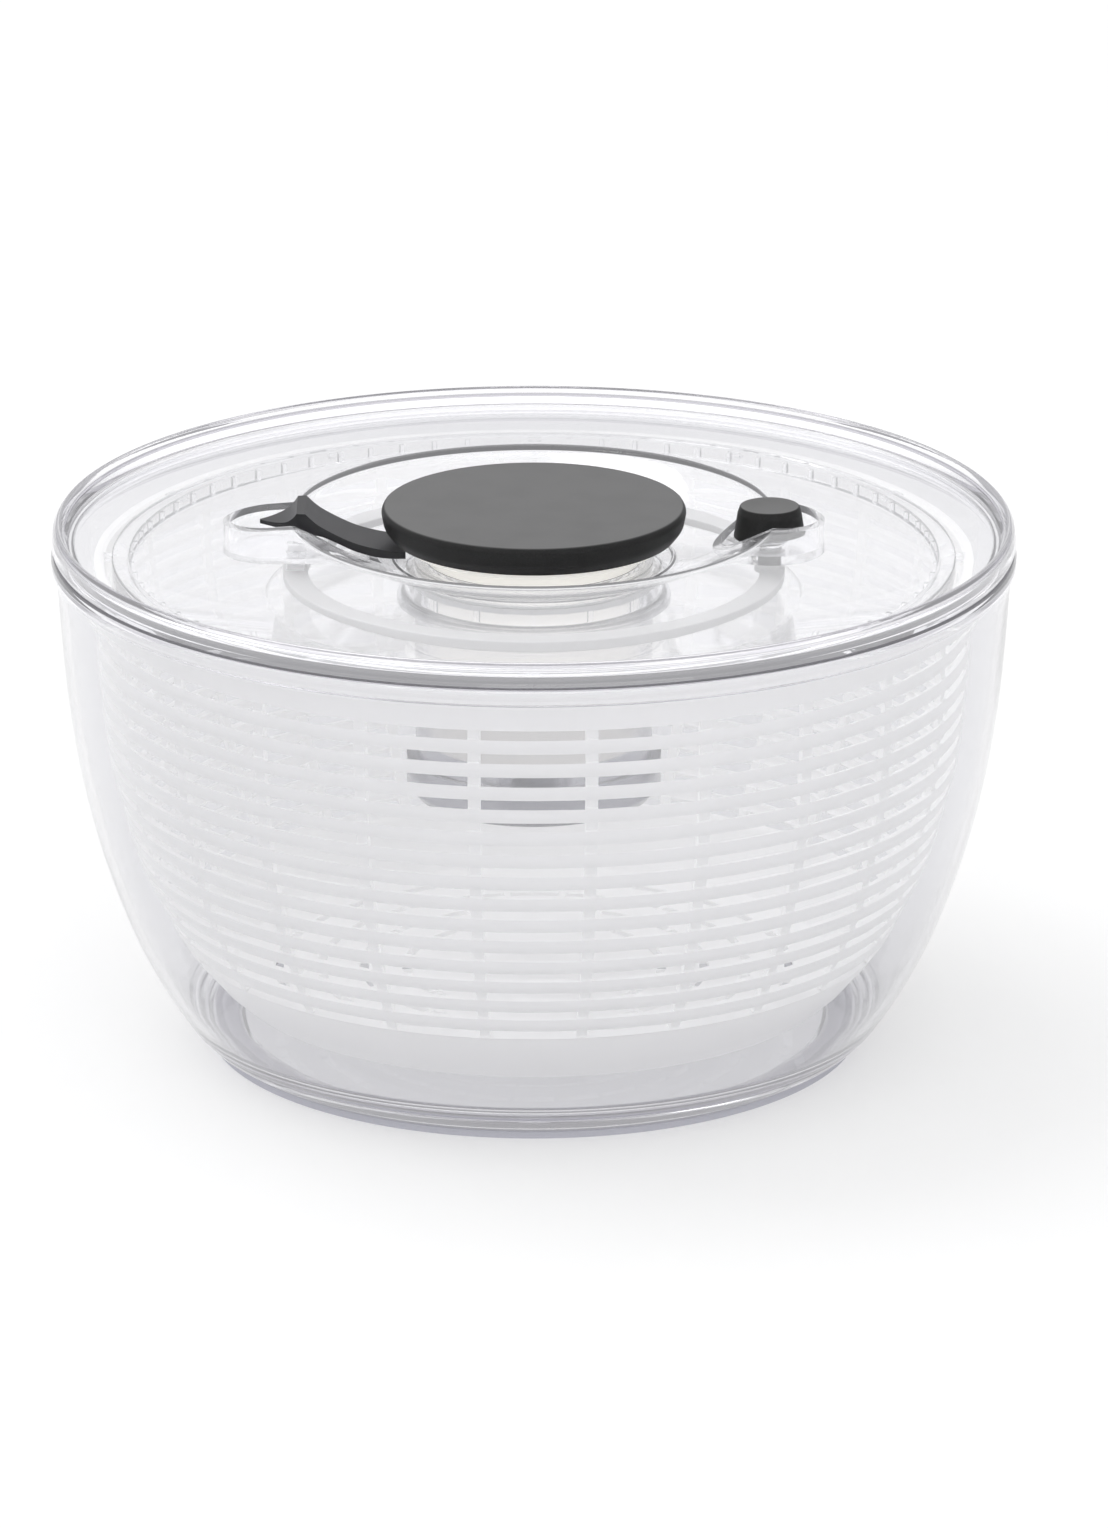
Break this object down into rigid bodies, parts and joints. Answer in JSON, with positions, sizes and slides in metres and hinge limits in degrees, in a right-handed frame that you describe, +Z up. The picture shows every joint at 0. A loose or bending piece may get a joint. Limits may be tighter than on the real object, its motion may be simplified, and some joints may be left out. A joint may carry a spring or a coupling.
{
  "type": "salad spinner",
  "caption": "Pump salad spinner: clear bowl with a non-slip foot, slotted basket, and a clear lid with a pump knob, a stop button and a sliding latch.",
  "frame": {"origin": "centre of the foot ring, on the surface that the spinner stands on", "axes": "+Z up along the spin axis, +X towards the stop button, -X towards the latch"},
  "size_m": [0.268, 0.268, 0.1532],
  "materials": {
    "bowl": "clear, polished",
    "foot_ring": "soft grey, matte",
    "basket_pivot": "clear, polished",
    "basket": "milky white, satin",
    "outer_lid": "clear, polished",
    "guide_sleeve": "clear, polished",
    "hub_retainer": "white, satin",
    "thrust_ring": "white, slippery",
    "brake_hinge_pin": "drawn steel",
    "return_spring": "drawn spring wire",
    "button_spring": "drawn spring wire",
    "knob_cap": "soft black, fine grain",
    "knob_core": "white, satin",
    "plunger": "warm white, satin",
    "knob_screws": "zinc plated",
    "twist_rod": "drawn steel",
    "rod_stop": "white, satin",
    "latch": "black, satin gloss",
    "brake_button": "soft black",
    "brake_ring": "milky white, satin",
    "brake_pad": "grey, matte",
    "drive_nut": "white, satin",
    "drive_plate": "clear, polished",
    "drive_drum": "clear, faint grey",
    "drum_end_cap": "clear, faint grey",
    "clutch_ring": "white, satin",
    "spring_washer": "bright steel",
    "nut_cap": "white, satin"
  },
  "bodies": {
    "bowl": {"bowl": "bowl", "foot_ring": "foot_ring", "basket_pivot": "basket_pivot"},
    "basket": {"basket": "basket"},
    "lid": {"outer_lid": "outer_lid", "guide_sleeve": "guide_sleeve", "hub_retainer": "hub_retainer", "thrust_ring": "thrust_ring", "brake_hinge_pin": "brake_hinge_pin", "return_spring": "return_spring", "button_spring": "button_spring"},
    "knob": {"knob_cap": "knob_cap", "knob_core": "knob_core", "plunger": "plunger", "knob_screw_1": "knob_screws", "knob_screw_2": "knob_screws", "knob_screw_3": "knob_screws", "twist_rod": "twist_rod", "rod_stop": "rod_stop"},
    "latch": {"latch": "latch"},
    "button": {"brake_button": "brake_button"},
    "brake": {"brake_ring": "brake_ring", "brake_pad": "brake_pad"},
    "nut": {"drive_nut": "drive_nut"},
    "drive": {"drive_plate": "drive_plate", "drive_drum": "drive_drum", "drum_end_cap": "drum_end_cap", "clutch_ring": "clutch_ring", "spring_washer": "spring_washer", "nut_cap": "nut_cap"}
  },
  "joints": [
    {"name": "basket_spin", "type": "hinge", "parent": "bowl", "child": "basket", "pos_m": [0, 0, 0.0184], "axis": [0, 0, 1], "continuous": true},
    {"name": "lid_lift", "type": "slide", "parent": "bowl", "child": "lid", "axis": [0, 0, 1], "range_m": [0, 0.09]},
    {"name": "knob_pump", "type": "slide", "parent": "lid", "child": "knob", "axis": [0, 0, 1], "range_m": [0, 0.045], "deforming": ["return_spring"]},
    {"name": "latch_slide", "type": "slide", "parent": "lid", "child": "latch", "axis": [-1, 0, 0], "range_m": [0, 0.007]},
    {"name": "button_press", "type": "slide", "parent": "lid", "child": "button", "axis": [0, 0, -1], "range_m": [0, 0.0022], "stiffness_N_per_m": 800, "springref_m": -0.001, "deforming": ["button_spring"]},
    {"name": "brake_tilt", "type": "hinge", "parent": "lid", "child": "brake", "pos_m": [-0.066, 0, 0.1366], "axis": [0, 1, 0], "range_deg": [0, 1.1]},
    {"name": "drive_spin", "type": "hinge", "parent": "lid", "child": "drive", "pos_m": [0, 0, 0.134], "axis": [0, 0, 1], "continuous": true},
    {"name": "nut_spin", "type": "hinge", "parent": "lid", "child": "nut", "pos_m": [0, 0, 0.124], "axis": [0, 0, 1], "range_deg": [-260, 30]}
  ],
  "couplings": [
    {"joint": "drive_spin", "follows": "basket_spin", "ratio": 1},
    {"joint": "nut_spin", "follows": "knob_pump", "rad_per_m": -78.54},
    {"joint": "brake_tilt", "follows": "button_press", "rad_per_m": 7.61}
  ]
}
